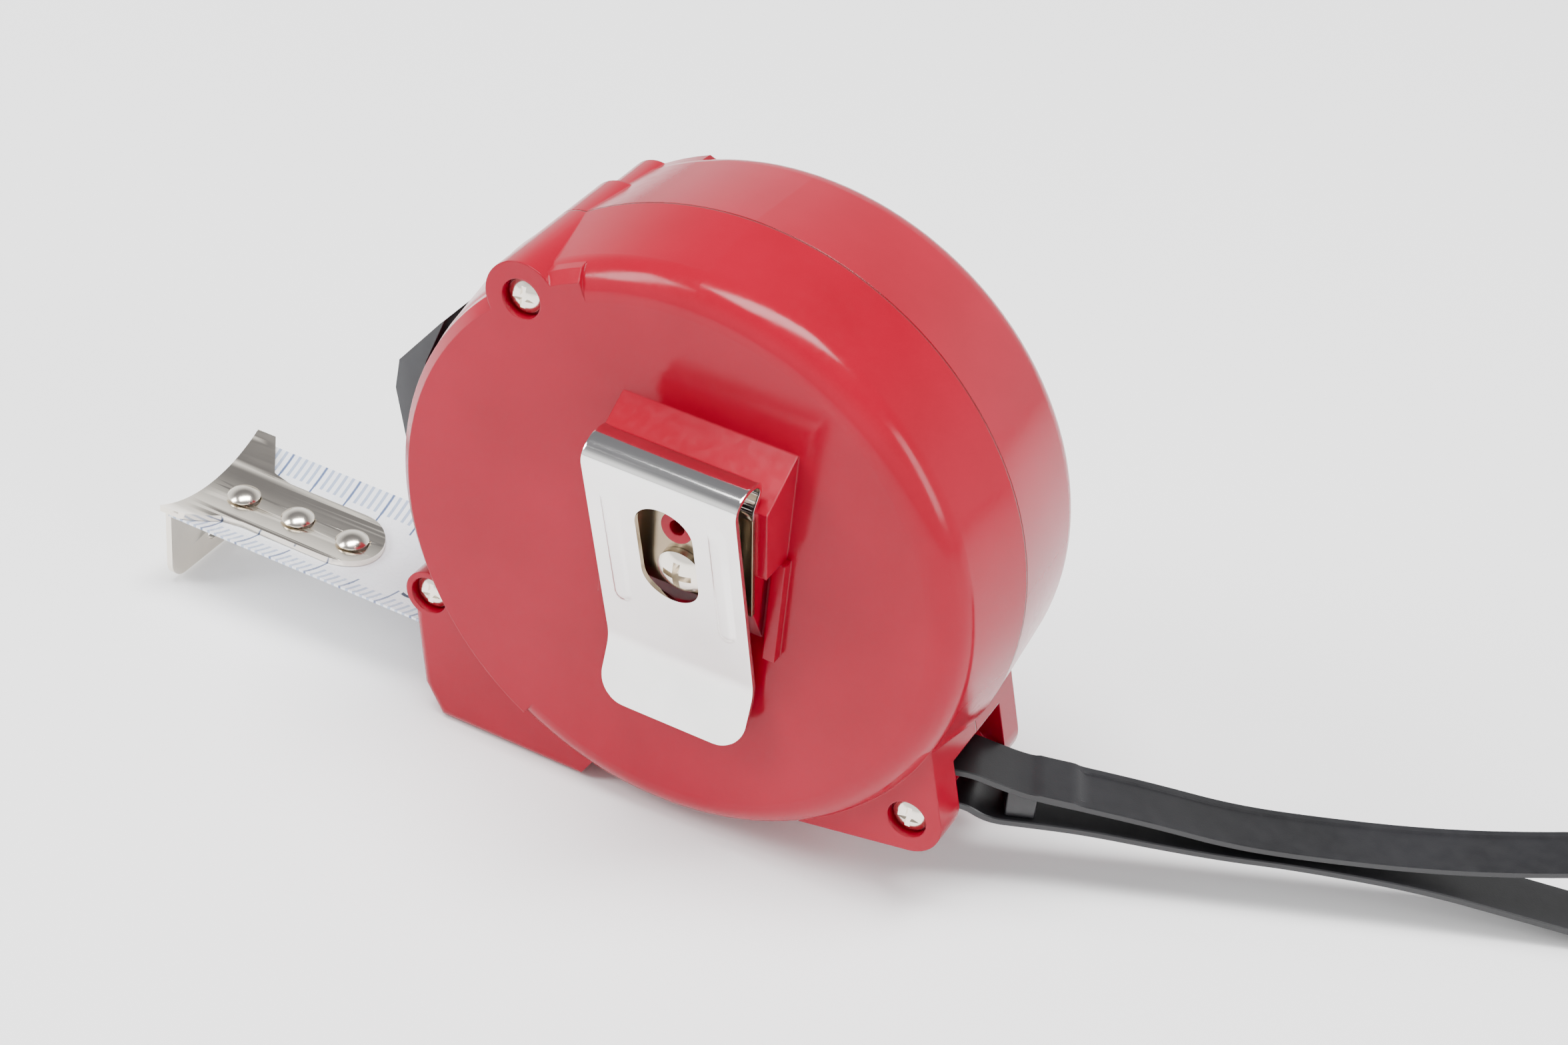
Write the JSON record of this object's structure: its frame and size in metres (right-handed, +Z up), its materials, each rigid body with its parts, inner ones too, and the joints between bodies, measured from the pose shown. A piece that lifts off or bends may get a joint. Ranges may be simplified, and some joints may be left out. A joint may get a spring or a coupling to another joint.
{
  "type": "tape measure",
  "caption": "Pocket tape measure: round moulded case with a folded belt clip, thumb lock, cupped blade with an end hook, and a short looped wrist strap.",
  "frame": {"origin": "on the surface it stands on, straight under the reel's axis, at the seam between the two case halves", "axes": "+Z up; the blade leaves towards -X and the strap lug is at +X; the belt clip is on the -Y side"},
  "size_m": [0.1922, 0.067, 0.0728],
  "materials": {
    "red_shell": "glossy moulded ABS",
    "nickel": "bright nickel plate",
    "clip_steel": "bright polished plate",
    "black_plastic": "satin moulded plastic",
    "blade_enamel": "satin white enamel with dark graduations",
    "spring_steel": "blued spring steel",
    "clear_liner": "thin translucent film",
    "rubber_black": "matt",
    "strap_pvc": "satin moulded soft vinyl",
    "label_foil": "plain satin sticker"
  },
  "bodies": {
    "case": {"case_half_clip_side": "red_shell", "case_half_label_side": "red_shell", "case_screws": "nickel", "clip_screw": "nickel", "belt_clip": "clip_steel", "centre_post": "spring_steel", "liner_disc_clip_side": "clear_liner", "liner_disc_label_side": "clear_liner", "brake_pin": "spring_steel", "detent_spring": "spring_steel", "mouth_guide": "black_plastic", "hook_bumper": "rubber_black", "label_disc": "label_foil", "wrist_strap": "strap_pvc", "strap_keeper": "strap_pvc"},
    "reel": {"reel_drum": "black_plastic", "reel_cover": "black_plastic", "tape_coil": "blade_enamel", "mainspring": "spring_steel", "spring_blade_link": "spring_steel"},
    "blade": {"tape_blade": "blade_enamel", "hook_rivets": "nickel"},
    "hook": {"end_hook": "nickel"},
    "button": {"lock_button": "black_plastic"},
    "brake": {"brake_arm": "black_plastic", "brake_pad": "rubber_black"}
  },
  "joints": [
    {"name": "reel_spin", "type": "hinge", "parent": "case", "child": "reel", "pos_m": [0, 0, 0.0364], "axis": [0, 1, 0], "range_deg": [-83, 31]},
    {"name": "blade_slide", "type": "slide", "parent": "case", "child": "blade", "axis": [-1, 0, 0], "range_m": [-0.0348, 0.013]},
    {"name": "hook_play", "type": "slide", "parent": "blade", "child": "hook", "axis": [-1, 0, 0], "range_m": [0, 0.001]},
    {"name": "lock_button_slide", "type": "hinge", "parent": "case", "child": "button", "pos_m": [0, 0, 0.0364], "axis": [0, 1, 0], "range_deg": [0, 11]},
    {"name": "brake_lift", "type": "hinge", "parent": "case", "child": "brake", "pos_m": [-0.0215, 0, 0.0172], "axis": [0, 1, 0], "range_deg": [0, 5]}
  ],
  "couplings": [
    {"joint": "blade_slide", "follows": "reel_spin", "m_per_rad": 0.024},
    {"joint": "brake_lift", "follows": "lock_button_slide", "ratio": 0.45}
  ]
}
